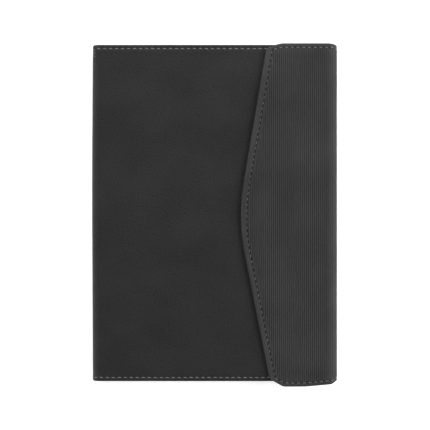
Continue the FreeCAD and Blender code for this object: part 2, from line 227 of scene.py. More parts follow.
def corner(s, y, radius=0.0, step=COARSE, weight=1.0):
    """A corner of an outline. step and weight are the point spacing and the share of the inset
    on the run that follows it."""
    return s, y, radius, step, weight


def outline(corners, inset=0.0, closed=False):
    """Points along a rounded line with its inside on the left, drawn in by inset.

    The number of points doesn't depend on the inset."""
    points = np.array([c[:2] for c in corners], float)
    count = len(points)
    ahead = np.roll(points, -1, 0) - points
    lengths = np.linalg.norm(ahead, axis=1)
    ahead = ahead / lengths[:, None]
    left = leftward(ahead)
    insets = inset * np.array([c[4] for c in corners])
    arcs = []
    for i, (_, _, radius, step, _) in enumerate(corners):
        if not closed and i in (0, count - 1):
            run = 0 if i == 0 else -2
            arcs.append([points[i] + left[run] * insets[run]])
            continue
        arcs.append(rounded_corner(points[i], (ahead[i - 1], ahead[i]), (left[i - 1], left[i]),
                                   (insets[i - 1], insets[i]), radius, step))
    out = []
    for i, arc in enumerate(arcs):
        out.extend(arc)
        if closed or i < count - 1:
            following = arcs[(i + 1) % count][0]
            steps = max(1, math.ceil(lengths[i] / corners[i][3]))
            out.extend(arc[-1] + (following - arc[-1]) * k / steps for k in range(1, steps))
    return np.array(out)


def rounded_corner(point, ahead, left, insets, radius, step):
    """The arc, or the single point, where two inset runs meet."""
    cosine = left[0] @ left[1]
    if cosine > 1 - 1e-9:
        return [point + left[0] * (insets[0] + insets[1]) / 2]
    shares = np.array([insets[0] - insets[1] * cosine, insets[1] - insets[0] * cosine])
    tip = point + (left[0] * shares[0] + left[1] * shares[1]) / (1 - cosine ** 2)
    bend = math.atan2(ahead[0][0] * ahead[1][1] - ahead[0][1] * ahead[1][0], ahead[0] @ ahead[1])
    if not radius:
        return [tip]
    rounded = max(radius - math.copysign(max(insets), bend), 0.15)
    side = math.copysign(rounded, bend)
    centre = tip - ahead[0] * rounded * math.tan(abs(bend) / 2) + left[0] * side
    steps = max(4, math.ceil(radius * abs(bend) / step))
    turned = [bend * k / steps for k in range(steps + 1)]
    return [centre - side * (left[0] * math.cos(a) - ahead[0] * math.sin(a)) for a in turned]


def resample(line, step):
    """The line with points evenly spaced, about step apart."""
    lengths = np.r_[0, np.cumsum(np.linalg.norm(np.diff(line, axis=0), axis=1))]
    wanted = np.linspace(0, lengths[-1], max(2, round(lengths[-1] / step) + 1))
    return np.stack([np.interp(wanted, lengths, line[:, k]) for k in (0, 1)], 1)


def beside(line, offset):
    """The line moved to its left by offset."""
    ahead = np.gradient(line, axis=0)
    ahead /= np.linalg.norm(ahead, axis=1)[:, None] + 1e-12
    return line + leftward(ahead) * offset


def nearest(points, line):
    """Distance from each point to the line, how far along that is, and 1 if it is on the left."""
    start, run = line[:-1], np.diff(line, axis=0)
    lengths = np.linalg.norm(run, axis=1)
    before = np.r_[0, np.cumsum(lengths)][:-1]
    out = np.zeros((3, len(points)))
    for i in range(0, len(points), 2000):
        offset = points[i:i + 2000, None, :] - start[None]
        t = np.clip((offset * run).sum(2) / (lengths ** 2 + 1e-12), 0, 1)
        gap = np.linalg.norm(offset - t[..., None] * run, axis=2)
        best = gap.argmin(1)
        rows = np.arange(len(best))
        away = offset[rows, best]
        cross = run[best, 0] * away[:, 1] - run[best, 1] * away[:, 0]
        along = before[best] + t[rows, best] * lengths[best]
        out[:, i:i + 2000] = gap[rows, best], along, cross > 0
    return out


def over_fold(bend, y, reverse=False):
    """Corners that make an edge parallel to s fine where it goes round a fold."""
    first, last = bend[::-1] if reverse else bend
    return [corner(first, y, 0, FINE), corner(last, y)]


def front_s(x):
    """s on the front sheet of a point at x on the front cover."""
    return front_high.x - x


def back_s(x):
    """s on the back sheet of a point at x on the back cover."""
    return back_bend[1] + x - back_low.x


def flap_s(x):
    """s on the flap sheet of a point at x on the flap's flat part."""
    return flap_bend[1] + flap_high.x - x


# how much of each inset the tab's long edge takes: it lies flat under the back cover
LAP = 0.3
front_edge = [
    corner(front_path.length, HEAD), *over_fold(front_bend, HEAD, True),
    corner(0, HEAD, COVER_CORNER), corner(0, TAIL, COVER_CORNER),
    *over_fold(front_bend, TAIL), corner(front_path.length, TAIL)]
back_edges = [
    [corner(0, TAIL), *over_fold(back_bend, TAIL), corner(back_path.length, TAIL)],
    [corner(back_path.length, HEAD), *over_fold(back_bend, HEAD, True), corner(0, HEAD)]]
tab_edge = [
    corner(tab_path.length, HEAD), *over_fold(tab_bend, HEAD, True),
    corner(0, HEAD, 0, COARSE, LAP), corner(0, TAIL),
    *over_fold(tab_bend, TAIL), corner(tab_path.length, TAIL)]
flap_edge = [
    corner(0, TAIL), corner(flap_bend[0], TAIL, 0, FINE),
    corner(flap_bend[0] + 2.6, TAIL, 5, FINE), corner(flap_bend[0] + 6.8, TAIL - 1.75, 9, FINE),
    corner(flap_s(59), FLAP_TAIL, 90, 1.5), corner(flap_s(44.6), FLAP_TAIL, 5, 1.0),
    corner(flap_s(35.8), TAIL + 1.5, 6, 1.0),
    corner(flap_s(FLAP_POINT_X), FLAP_POINT_Y, FLAP_POINT_RADIUS, 1.5),
    corner(flap_s(33.6), HEAD - 2.2, 5, 1.0), corner(flap_s(43.0), FLAP_HEAD, 16, 1.0),
    corner(flap_s(75.5), FLAP_HEAD, 12, FINE), corner(flap_bend[0] + 2.2, HEAD, 8, FINE),
    corner(flap_bend[0], HEAD), corner(0, HEAD)]
# the flap's seam: each run has its own distance from the edge
flap_seam_weights = ([FLAP_SEAM] * 6 + [TAIL_LEG_SEAM, HEAD_LEG_SEAM, FLAP_SEAM, HEAD_ROW_SEAM]
                     + [FLAP_SEAM] * 4)
flap_seam_edge = [(*c[:4], w) for c, w in zip(flap_edge, flap_seam_weights)]


# ---- building a piece

def triangles_inside(boundary, lines):
    """Triangulate the inside of a closed boundary, with the lines among the edges."""
    vertices = [Vector(p) for p in boundary]
    count = len(vertices)
    edges = [(i, (i + 1) % count) for i in range(count)]
    for line in lines:
        first = len(vertices)
        vertices.extend(Vector(p) for p in line)
        edges.extend((first + i, first + i + 1) for i in range(len(line) - 1))
    made = geometry.delaunay_2d_cdt(vertices, edges, [], 1, 1e-5)
    points = np.array([v[:] for v in made[0]])
    where = {}
    for new, originals in enumerate(made[3]):
        for original in originals:
            where.setdefault(original, new)
    return points, [list(f) for f in made[2]], [where[i] for i in range(count)]


class Shell:
    """A closed solid between a face and a back, joined round the free edges by a profile.

    edges are the free edges: one closed loop, or open lines that run round the sheet in order,
    where the sheet is cut square between one line's end and the next one's start. profile is a
    list of (inset, depth at (s, y)); its first entry is the face's edge and its last the back's.
    facing is 1 for a face that looks out of the case and -1 for one that looks in."""

    def __init__(self, path, edges, profile, closed=False, facing=1):
        self.path, self.edges, self.profile = path, edges, profile
        self.closed, self.facing = closed, facing
        self.flat, self.depth, self.raised, self.inset, self.faces = [], [], [], [], []

    def ring(self, inset):
        return np.vstack([outline(e, inset, self.closed) for e in self.edges])

    def edge_distance(self, points):
        lines = [outline(e, 0, self.closed) for e in self.edges]
        if self.closed:
            lines = [np.vstack([line, line[:1]]) for line in lines]
        return np.minimum.reduce([nearest(points, line)[0] for line in lines])

    def add(self, points, depth, raised, inset):
        first = sum(len(p) for p in self.flat)
        self.flat.append(points)
        self.depth.append(depth - self.facing * raised)
        self.raised.append(raised)
        self.inset.append(inset)
        return first

    def cap(self, inset, depth, lines, relief):
        points, triangles, where = triangles_inside(self.ring(inset), lines)
        distance = self.edge_distance(points)
        raised = relief(points, distance) if relief else np.zeros(len(points))
        first = self.add(points, depth(*points.T), raised, distance)
        self.faces.extend([first + i for i in t] for t in triangles)
        return [first + i for i in where]

    def build(self, name, face_lines=(), back_lines=(), relief=None):
        rings = [self.cap(*self.profile[0], face_lines, relief)]
        for inset, depth in self.profile[1:-1]:
            points = self.ring(inset)
            zero = np.zeros(len(points))
            first = self.add(points, depth(*points.T), zero, zero + inset)
            rings.append(range(first, first + len(points)))
        rings.append(self.cap(*self.profile[-1], back_lines, None))
        counts = [len(outline(e, 0, self.closed)) for e in self.edges]
        for a, b in zip(rings, rings[1:]):
            start = 0
            for count in counts:
                for i in range(start, start + (count if self.closed else count - 1)):
                    j = start + (i + 1 - start) % count
                    self.faces.append([a[i], a[j], b[j], b[i]])
                start += count
        return self.object(name)

    def object(self, name):
        flat = np.vstack(self.flat)
        depth, raised, inset = map(np.concatenate, (self.depth, self.raised, self.inset))
        used = np.unique(np.concatenate([np.array(f) for f in self.faces]))
        renumber = np.zeros(len(flat), int)
        renumber[used] = np.arange(len(used))
        placed = self.path.place(*flat[used].T, depth[used])
        faces = [[int(renumber[i]) for i in f] for f in self.faces]
        return closed_object(name, placed, faces, flat[used], raised[used], inset[used])


def closed_object(name, placed, faces, flat, raised=0.0, inset=0.0):
    """An object whose points keep where they lie on the flat sheet, for the materials."""
    mesh = bpy.data.meshes.new(name)
    mesh.from_pydata(placed.tolist(), [], faces)
    zero = np.zeros(len(flat))
    columns = np.column_stack([flat[:, :2], zero + inset]).astype(np.float32)
    developed = mesh.attributes.new("developed", "FLOAT_VECTOR", "POINT")
    developed.data.foreach_set("vector", columns.ravel())
    # the leather materials paint shade where this relief sinks below the face
    relief = mesh.attributes.new("raised", "FLOAT", "POINT")
    relief.data.foreach_set("value", (zero + raised).astype(np.float32))
    close(mesh)
    return new_object(name, mesh)


def tube_faces(rings, around):
    """Faces of a closed tube: the sides between its rings, then its two ends."""
    sides = [[k * around + m, k * around + (m + 1) % around,
              (k + 1) * around + (m + 1) % around, (k + 1) * around + m]
             for k in range(rings - 1) for m in range(around)]
    last = (rings - 1) * around
    return sides + [list(range(around)), [last + m for m in reversed(range(around))]]


def close(mesh):
    """Fill what is open, turn all faces outwards and shade smooth up to a crease."""
    bm = bmesh.new()
    bm.from_mesh(mesh)
    bmesh.ops.holes_fill(bm, edges=[e for e in bm.edges if e.is_boundary], sides=0)
    bmesh.ops.triangulate(bm, faces=[f for f in bm.faces if len(f.verts) > 4])
    bmesh.ops.recalc_face_normals(bm, faces=bm.faces)
    bm.to_mesh(mesh)
    bm.free()
    mesh.shade_smooth()
    mesh.set_sharp_from_angle(angle=math.radians(48))


def new_object(name, data):
    piece = bpy.data.objects.new(name, data)
    bpy.context.scene.collection.objects.link(piece)
    return piece


def dress(piece, look, slot, *nodes):
    """Give a piece its material and hide the CAD nodes that it stands for. slot, the record's slot,
    is not used.
    """
    piece.data.materials.append(look)
    if nodes:
        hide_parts(*nodes)
    return piece


def constant(value):
    return lambda s, y: np.full(np.shape(s), float(value))


def leather_profile(thickness, hem):
    """Rolled edge, side, turned-in hem, and back up to the inside of the skin."""
    rows = []
    for k in range(6):
        a = QUARTER * k / 5
        rows.append((EDGE_ROLL * (1 - math.sin(a)), constant(EDGE_ROLL * (1 - math.cos(a)))))
    for k in range(4):
        a = QUARTER * k / 3
        inset, rise = UNDER_ROLL * (1 - math.cos(a)), UNDER_ROLL * (1 - math.sin(a))
        rows.append((inset, lambda s, y, rise=rise: thickness(s) - rise))
    rows.append((hem, lambda s, y: thickness(s)))
    rows.append((hem, constant(SKIN)))
    return rows


def inner_profile(face, back, inset=0.0, roll=0.25):
    """A thin sheet on the inside of the case, whose face looks in; face and back are depths."""
    return [
        (inset + roll, face),
        (inset + roll * 0.3, lambda s, y: face(s, y) - roll * 0.3),
        (inset, lambda s, y: face(s, y) - roll),
        (inset, back)]


def cross_lines(stops, low, high, y_step):
    """Lines of constant s from low to high."""
    ys = np.linspace(low, high, round((high - low) / y_step) + 1)
    return [np.column_stack([np.full(len(ys), s), ys]) for s in stops]


def stops_along(path, spacing):
    """Even stops along a path, and closer ones where it bends."""
    stops = set(np.arange(spacing, path.length - spacing / 3, spacing).round(4))
    for start, end in path.bends():
        stops |= set(np.linspace(start, end, math.ceil((end - start) / FINE) + 1).round(4))
    return sorted(stops)


# ---- relief of the leather

SEAM_OFFSETS = (-1.1, -0.65, -0.3, 0.0, 0.3, 0.65, 1.1)
GROOVE_WIDTH = 0.5
HOLE_WIDTH, HOLE_LENGTH = 0.32, 0.42
PUFF_DISTANCE, PUFF_WIDTH = 1.2, 0.6
EDGE_FADE = 0.5


class Seam:
    """A row of stitches along a line on a sheet."""

    def __init__(self, line, pitch):
        self.line = resample(np.asarray(line, float), 0.5)
        length = np.linalg.norm(np.diff(self.line, axis=0), axis=1).sum()
        self.count = max(1, round(length / pitch))
        self.pitch = length / self.count

    def mesh_lines(self):
        """Lines beside the seam with a point at each needle hole and between."""
        line = resample(self.line, self.pitch / 4)
        return [beside(line, offset) for offset in SEAM_OFFSETS]

    def relief(self, points, groove=0.16, hole=0.32, puff=0.10):
        """The leather is pulled in along the thread, pierced at the end of each stitch, and
        swollen beside the row."""
        distance, along, _ = nearest(points, self.line)
        from_hole = ((along / self.pitch + 0.5) % 1 - 0.5) * self.pitch
        pulled = groove * np.exp(-(distance / GROOVE_WIDTH) ** 2)
        pierced = hole * np.exp(-(distance / HOLE_WIDTH) ** 2 - (from_hole / HOLE_LENGTH) ** 2)
        swollen = puff * np.exp(-((distance - PUFF_DISTANCE) / PUFF_WIDTH) ** 2)
        return swollen - pulled - pierced


def waves(sheet, points, size, height):
    """Gentle unevenness that runs on from sheet to sheet."""
    where = sheet.path.place(*points.T, 0) / MM / size
    return height * np.array([noise.noise(Vector(w)) for w in where])


def smooth_leather(sheet, spine, crown=CROWN):
    """Padded over the board: a soft crown that falls off to the edges, and slight waves. The
    spine is pressed out a little by the pages: spine(s) is 1 on it and 0 on the cover."""
    bulge_middle, bulge_reach = 12, 100

    def relief(points, distance):
        inside = distance - EDGE_ROLL
        uneven = waves(sheet, points, 34, 0.07) + waves(sheet, points, 11, 0.03) - 0.05
        near = smooth(1.15 - abs(points[:, 1] - bulge_middle) / bulge_reach)
        pushed = SPINE_BULGE * near * spine(points[:, 0])
        body = smooth(inside / 2.5) * (crown * smooth(inside / 14) + uneven + pushed)
        return body + sum(s.relief(points) for s in sheet.seams) * smooth(inside / EDGE_FADE)
    return relief


def ribbed_leather(sheet, shift):
    """Ribs along y inside the seam, drawn flatter where the leather bends, and a smooth margin
    outside it, pressed a little below the ribs."""
    (bend,), (seam,) = sheet.path.bends(), sheet.seams

    def relief(points, distance):
        inside = distance - EDGE_ROLL
        ribs = 0.5 + 0.5 * np.cos((points[:, 0] - shift) / RIB_PITCH * 2 * math.pi)
        beyond = np.maximum(bend[0] - points[:, 0], points[:, 0] - bend[1])
        height = RIB_HEIGHT * (0.7 + 0.3 * smooth((beyond - 0.5) / 3.0))
        gap, _, left = nearest(points, seam.line)
        ribbed = smooth((gap - 0.45) / 0.8) * left
        # the leather material paints shade where this relief sinks, so the ribs' valleys and the
        # pressed margin are painted darker too
        pressed = height * (1 - ribs) * ribbed + MARGIN_PRESS * (1 - ribbed)
        uneven = waves(sheet, points, 30, 0.05) - 0.03
        return smooth(inside / 2) * uneven + smooth(inside / EDGE_FADE) * (
            seam.relief(points, groove=0.20, hole=0.45) - pressed)
    return relief


# ---- stitches

STITCH_RINGS, STITCH_AROUND = 7, 8


def stitch_rings(here, ahead, length, width, height, depth, facing):
    """Rings of points along one stitch, whose ends dip into the leather."""
    across = leftward(ahead)
    rows = []
    for k in range(STITCH_RINGS):
        t = -1 + 2 * k / (STITCH_RINGS - 1)
        swell = math.sqrt(max(0.05, 1 - abs(t) ** 3))
        rise = height * (1 - t ** 2 * 0.9) - 0.12 * abs(t) ** 5
        for m in range(STITCH_AROUND):
            a = 2 * math.pi * m / STITCH_AROUND
            place = here + ahead * length / 2 * t + across * width / 2 * swell * math.cos(a)
            rows.append((*place, depth - facing * (rise + height * 0.55 * swell * math.sin(a))))
    return rows


def stitches(name, path, seams, depth, length=0.62, width=0.62, height=0.22, facing=1, slant=5.0,
             sink=0.0):
    """All the stitches of some seams. depth is that of the surface at (s, y), and length is a
    share of the pitch. sink is how much of a stitch is lost where it runs along the ribs."""
    vertices, faces = [], []
    sides = tube_faces(STITCH_RINGS, STITCH_AROUND)
    for seam in seams:
        stations = np.linspace(0, seam.count * seam.pitch, len(seam.line))

        def at(along):
            return np.array([np.interp(along, stations, seam.line[:, k]) for k in (0, 1)])

        for i in range(seam.count):
            middle = (i + 0.5) * seam.pitch
            here, ahead = at(middle), at(middle + 0.3) - at(middle - 0.3)
            angle = math.atan2(ahead[1], ahead[0]) + math.radians(slant) + rng.uniform(-0.03, 0.03)
            ahead = unit(angle)
            size = seam.pitch * length * rng.uniform(0.95, 1.05)
            seen = 1 - sink * ahead[1] ** 2
            surface = float(depth(here[0], here[1]))
            faces.extend([len(vertices) + k for k in side] for side in sides)
            vertices.extend(stitch_rings(here, ahead, size * seen, width * seen, height, surface,
                                         facing))
    flat = np.array(vertices)
    return closed_object(name, path.place(*flat.T), faces, flat)


# ---- materials

class Look:
    """A procedural material, with short calls for the nodes that it is made of."""

    def __init__(self, name, roughness, **shader):
        self.material = bpy.data.materials.new(name)
        self.material.use_nodes = True
        self.tree = self.material.node_tree
        self.shader = self.tree.nodes["Principled BSDF"]
        self.shader.inputs["Roughness"].default_value = roughness
        for socket, value in shader.items():
            self.shader.inputs[socket.replace("_", " ")].default_value = value

    def node(self, kind, inputs=None, **settings):
        made = self.tree.nodes.new("ShaderNode" + kind)
        for key, value in settings.items():
            setattr(made, key, value)
        for key, value in (inputs or {}).items():
            if isinstance(value, bpy.types.NodeSocket):
                self.tree.links.new(value, made.inputs[key])
            else:
                made.inputs[key].default_value = value
        return made

    def flat_place(self):
        """Where a point lies on its flat sheet, in millimetres."""
        return self.node("Attribute", attribute_name="developed").outputs["Vector"]

    def raised(self):
        """How far the surface stands out there, in millimetres."""
        return self.node("Attribute", attribute_name="raised").outputs["Fac"]

    def object_place(self, scale=(1000, 1000, 1000)):
        """Where a point lies in the frame, in millimetres unless it is stretched."""
        where = self.node("TexCoord").outputs["Object"]
        return self.node("Mapping", {"Vector": where, "Scale": scale}).outputs[0]

    def part(self, where, axis):
        return self.node("SeparateXYZ", {"Vector": where}).outputs[axis]

    def noise(self, where, scale, detail=3.0):
        inputs = {"Vector": where, "Scale": scale, "Detail": detail}
        return self.node("TexNoise", inputs).outputs["Fac"]

    def cells(self, where, scale):
        return self.node("TexVoronoi", {"Vector": where, "Scale": scale},
                         feature="SMOOTH_F1", voronoi_dimensions="2D").outputs["Distance"]

    def bands(self, where, scale, direction):
        return self.node("TexWave", {"Vector": where, "Scale": scale},
                         bands_direction=direction).outputs["Fac"]

    def span(self, value, low, high, new_low, new_high):
        inputs = {"Value": value, "From Min": low, "From Max": high,
                  "To Min": new_low, "To Max": new_high}
        return self.node("MapRange", inputs).outputs[0]

    def math(self, operation, a, b):
        return self.node("Math", {0: a, 1: b}, operation=operation).outputs[0]

    def plus(self, a, b):
        return self.math("ADD", a, b)

    def times(self, a, b):
        return self.math("MULTIPLY", a, b)

    def mix(self, share, a, b):
        made = self.node("Mix", {"Factor": share}, data_type="RGBA")
        for socket, value in ((made.inputs[6], a), (made.inputs[7], b)):
            if isinstance(value, bpy.types.NodeSocket):
                self.tree.links.new(value, socket)
            else:
                socket.default_value = (*value, 1)
        return made.outputs[2]

    def colour(self, value):
        self.tree.links.new(value, self.shader.inputs["Base Color"])

    def rough(self, value):
        self.tree.links.new(value, self.shader.inputs["Roughness"])

    def bump(self, height, distance):
        """distance is the height of the relief, in millimetres."""
        made = self.node("Bump", {"Height": height, "Distance": distance * MM})
        self.tree.links.new(made.outputs[0], self.shader.inputs["Normal"])


def grained_leather(name, dark, light, cell, roughness, depth, valley=-0.3, turned=0.45,
                    gloss=0.26):
    """Coated leather: pebbled grain with creases between. Its colour also holds painted shade:
    darker where the relief sinks, in seams, in needle holes and in the ribs' valleys, and darker
    at the turned edge. cell is the size of a pebble, valley the relief at which the painted shade
    is darkest, and turned the tone of the painted shade at the turned edge."""
    look = Look(name, roughness, Specular_IOR_Level=gloss)
    where = look.flat_place()
    pebbles = look.cells(where, 1 / cell)
    creases = look.span(pebbles, 0.25, 0.75, 1.0, 0.0)
    pores = look.noise(where, 2.6 / cell)
    cloud = look.noise(where, 0.03)
    tone = look.plus(look.span(cloud, 0.3, 0.7, 0.0, 0.35),
                     look.times(look.plus(creases, pores), 0.42))
    # painted shade at the turned edge: the colour darkens to turned within 1.3 mm of the edge
    edge = look.span(look.part(where, "Z"), 0.15, 1.3, turned, 1.0)
    # painted shade in recesses: the colour darkens where the relief sinks, to a quarter at valley
    valley_shade = look.span(look.raised(), valley, 0.0, 0.25, 1.0)
    shade = look.times(look.times(tone, edge), valley_shade)
    look.colour(look.mix(shade, dark, light))
    look.rough(look.span(pores, 0.3, 0.7, roughness - 0.06, roughness + 0.07))
    look.bump(look.plus(creases, look.times(pores, 0.5)), depth)
    return look.material


def woven(name, dark, light, pitch):
    """A plain weave: two sets of yarns that cross, with some fuzz."""
    look = Look(name, 0.8, Sheen_Weight=0.2, Sheen_Roughness=0.5)
    where = look.flat_place()
    one_band_per_mm = 0.314
    warp, weft = (look.bands(where, one_band_per_mm / pitch, axis) for axis in "XY")
    yarn = look.plus(look.times(warp, 0.5), look.times(weft, 0.5))
    fuzz = look.noise(where, 3.0, 4.0)
    blotch = look.noise(where, 0.05, 2.0)
    tone = look.plus(look.times(yarn, 0.5), look.times(fuzz, 0.3))
    look.colour(look.mix(look.plus(tone, look.times(blotch, 0.3)), dark, light))
    look.bump(look.plus(yarn, look.times(fuzz, 0.3)), 0.10)
    return look.material


def thread(name, dark, light):
    """Twisted sewing thread."""
    look = Look(name, 0.6, Sheen_Weight=0.2)
    where = look.flat_place()
    twist = look.bands(where, 0.9, "DIAGONAL")
    fluff = look.noise(where, 2.5)
    tone = look.plus(look.times(twist, 0.6), look.times(fluff, 0.5))
    look.colour(look.mix(tone, dark, light))
    look.bump(twist, 0.06)
    return look.material


def fibre_board(name, dark, light):
    """Pressed board with short fibres all ways."""
    look = Look(name, 0.9, Specular_IOR_Level=0.2)
    where = look.object_place()
    fibres = look.noise(look.object_place((300, 2600, 1200)), 1.0, 5.0)
    across = look.noise(look.object_place((2600, 300, 1200)), 1.0, 5.0)
    flecks = look.noise(where, 0.9, 5.0)
    tone = look.times(look.plus(look.plus(fibres, across), flecks), 0.33)
    look.colour(look.mix(look.span(tone, 0.35, 0.65, 0.0, 1.0), dark, light))
    look.bump(tone, 0.15)
    return look.material


def ruled_paper(name):
    """Off-white paper with faint feint lines on its faces and none on its edges."""
    look = Look(name, 0.85, Specular_IOR_Level=0.25)
    where = look.object_place()
    fibres = look.noise(where, 0.6, 5.0)
    ground = look.mix(look.span(fibres, 0.3, 0.7, 0.0, 1.0),
                      (0.58, 0.57, 0.525), (0.66, 0.65, 0.605))
    line_pitch, line_share = 7.0, 0.045
    spacing = look.math("FRACT", look.math("DIVIDE", look.part(where, "Y"), line_pitch), 0.0)
    line = look.math("LESS_THAN", spacing, line_share)
    up = look.part(look.node("NewGeometry").outputs["Normal"], "Z")
    flat = look.math("GREATER_THAN", look.math("ABSOLUTE", up, 0.0), 0.8)
    ink = look.times(look.times(line, flat), 0.55)
    look.colour(look.mix(ink, ground, (0.22, 0.27, 0.34)))
    look.bump(fibres, 0.03)
    return look.material


def metal(name, dark, light, roughness, scratches):
    """Brushed or plated metal with fine scratches and dull patches."""
    look = Look(name, roughness, Metallic=1.0)
    brushed = look.noise(look.object_place(scratches), 1.0, 4.0)
    patches = look.noise(look.object_place(), 0.25)
    tone = look.times(look.plus(brushed, patches), 0.5)
    look.colour(look.mix(tone, dark, light))
    look.rough(look.span(patches, 0.3, 0.7, roughness - 0.08, roughness + 0.12))
    look.bump(brushed, 0.02)
    return look.material


cover_look = grained_leather("black_leather", (0.0023, 0.0023, 0.0024), (0.0168, 0.0168, 0.0173),
                             1.0, 0.5, 0.10, valley=-0.5)
ribbed_look = grained_leather("ribbed_leather", (0.0030, 0.0030, 0.0031), (0.0450, 0.0450, 0.0460),
                              0.5, 0.56, 0.04, turned=0.9, gloss=0.16)
pocket_look = grained_leather("pocket_leather", (0.005, 0.005, 0.0053), (0.022, 0.022, 0.0235),
                              0.8, 0.55, 0.06, valley=-0.5)
lining_look = woven("lining_fabric", (0.0085, 0.0085, 0.0092), (0.043, 0.043, 0.0455), 0.5)
cover_thread_look = thread("cover_thread", (0.065, 0.065, 0.063), (0.157, 0.156, 0.150))
flap_thread_look = thread("flap_thread", (0.050, 0.050, 0.050), (0.112, 0.112, 0.112))
board_look = fibre_board("greyboard", (0.13, 0.125, 0.115), (0.26, 0.25, 0.23))
card_look = fibre_board("pad_card", (0.25, 0.20, 0.145), (0.42, 0.35, 0.26))
paper_look = ruled_paper("paper_sheets")
tape_look = woven("tape_cloth", (0.0095, 0.0095, 0.0102), (0.043, 0.043, 0.0455), 0.6)
steel_look = metal("plate_steel", (0.30, 0.31, 0.33), (0.52, 0.53, 0.55), 0.38, (60, 4000, 400))
nickel_look = metal("magnet_nickel", (0.55, 0.53, 0.49), (0.74, 0.72, 0.68), 0.22, (700, 700, 700))


# ---- seams

front_seam = Seam(outline([
    corner(front_bend[0] + 2.9, HEAD - COVER_SEAM), corner(COVER_SEAM, HEAD - COVER_SEAM, 1, 1),
    corner(COVER_SEAM, TAIL + COVER_SEAM, 1, 1), corner(front_path.length, TAIL + COVER_SEAM)]),
    COVER_PITCH)
TACK_S = front_bend[0] + 4.0
front_tack = Seam([(TACK_S, HEAD - COVER_SEAM), (TACK_S, HEAD - COVER_SEAM - TACK_LENGTH)],
                  TACK_PITCH)
back_seams = [
    Seam([(0, TAIL + COVER_SEAM), (back_path.length, TAIL + COVER_SEAM)], COVER_PITCH),
    Seam([(back_path.length, HEAD - COVER_SEAM), (back_bend[0], HEAD - COVER_SEAM)], COVER_PITCH)]
tab_seam = Seam(outline([
    corner(tab_path.length, HEAD - FLAP_SEAM), corner(COVER_SEAM, HEAD - FLAP_SEAM, 1.5, 1),
    corner(COVER_SEAM, TAIL + FLAP_SEAM, 1.5, 1), corner(tab_path.length, TAIL + FLAP_SEAM)]),
    FLAP_PITCH)
flap_seam = Seam(outline(flap_seam_edge, 1), FLAP_PITCH)


# ---- leather sheets and linings

BACK_STEP = 24.0
Sheet = namedtuple("Sheet", "path edges thickness seams")
front = Sheet(front_path, [front_edge], front_thickness, [front_seam, front_tack])
back = Sheet(back_path, back_edges, back_thickness, back_seams)
tab = Sheet(tab_path, [tab_edge], tab_thickness, [tab_seam])
flap = Sheet(flap_path, [flap_edge], flap_thickness, [flap_seam])


def leather_sheet(name, sheet, spacing, y_step, relief, hem=HEM):
    """A leather sheet with rolled edges and turned-in hems."""
    face_lines = cross_lines(stops_along(sheet.path, spacing), FLAP_TAIL, FLAP_HEAD, y_step)
    for seam in sheet.seams:
        face_lines += seam.mesh_lines()
    back_lines = cross_lines(stops_along(sheet.path, BACK_STEP), TAIL, HEAD, BACK_STEP)
    profile = leather_profile(sheet.thickness, hem)
    return Shell(sheet.path, sheet.edges, profile).build(name, face_lines, back_lines, relief)


def past(bend, s):
    """0 before a bend, rising to 1 after it."""
    return smooth((s - bend[0]) / (bend[1] - bend[0]))


SMOOTH_STEP = 3.0
RIB_STEP, RIB_Y_STEP = RIB_PITCH / 4, 8.0
FLAP_HEM = 2.9
front_leather = leather_sheet("front_leather", front, SMOOTH_STEP, SMOOTH_STEP,
                              smooth_leather(front, lambda s: past(front_bend, s)))
back_leather = leather_sheet("back_leather", back, SMOOTH_STEP, SMOOTH_STEP,
                             smooth_leather(back, lambda s: past(back_bend[::-1], s), 0.0))
tab_leather = leather_sheet("tab_leather", tab, RIB_STEP, RIB_Y_STEP,
                            ribbed_leather(tab, tab_path.length))
flap_leather = leather_sheet("flap_leather", flap, RIB_STEP, RIB_Y_STEP,
                             ribbed_leather(flap, 0.0), FLAP_HEM)

front_stitches = stitches("front_stitches", front_path, front.seams, constant(0.06))
back_stitches = stitches("back_stitches", back_path, back.seams, constant(0.16), height=0.12)
tab_stitches = stitches("tab_stitches", tab_path, tab.seams, constant(0.16), height=0.12)
flap_stitches = stitches("flap_stitches", flap_path, flap.seams, constant(0.19), width=0.6,
                         sink=0.28)

LINING_INSET = 1.3
LINING_STEP = 12.0


def lining_sheet(name, sheet):
    """The cloth on the inside of a leather sheet, drawn in from its edges."""
    lines = cross_lines(stops_along(sheet.path, LINING_STEP), FLAP_TAIL, FLAP_HEAD, LINING_STEP)
    profile = inner_profile(lambda s, y: sheet.thickness(s) + LINING,
                            lambda s, y: sheet.thickness(s), LINING_INSET)
    return Shell(sheet.path, sheet.edges, profile, facing=-1).build(name, lines, lines)


front_cloth = lining_sheet("front_cloth", front)
back_cloth = lining_sheet("back_cloth", back)
tab_cloth = lining_sheet("tab_cloth", tab._replace(edges=[tab_edge[4:], tab_edge[:4]]))
flap_cloth = lining_sheet("flap_cloth", flap)


def inside_stitches(name, sheet, seams):
    """The same rows where they come through the lining."""
    return stitches(name, sheet.path, seams, lambda s, y: sheet.thickness(s) + LINING - 0.02,
                    length=0.5, height=0.12, facing=-1, slant=-5.0)


front_inside = inside_stitches("front_inside_stitches", front, [front_seam])
back_inside = inside_stitches("back_inside_stitches", back, back_seams)
flap_inside = inside_stitches("flap_inside_stitches", flap, [flap_seam])
tab_rows = [Seam([(COVER_SEAM, y), (tab_path.length, y)], FLAP_PITCH)
            for y in (TAIL + FLAP_SEAM, HEAD - FLAP_SEAM)]
tab_inside = inside_stitches("tab_inside_stitches", tab, tab_rows)

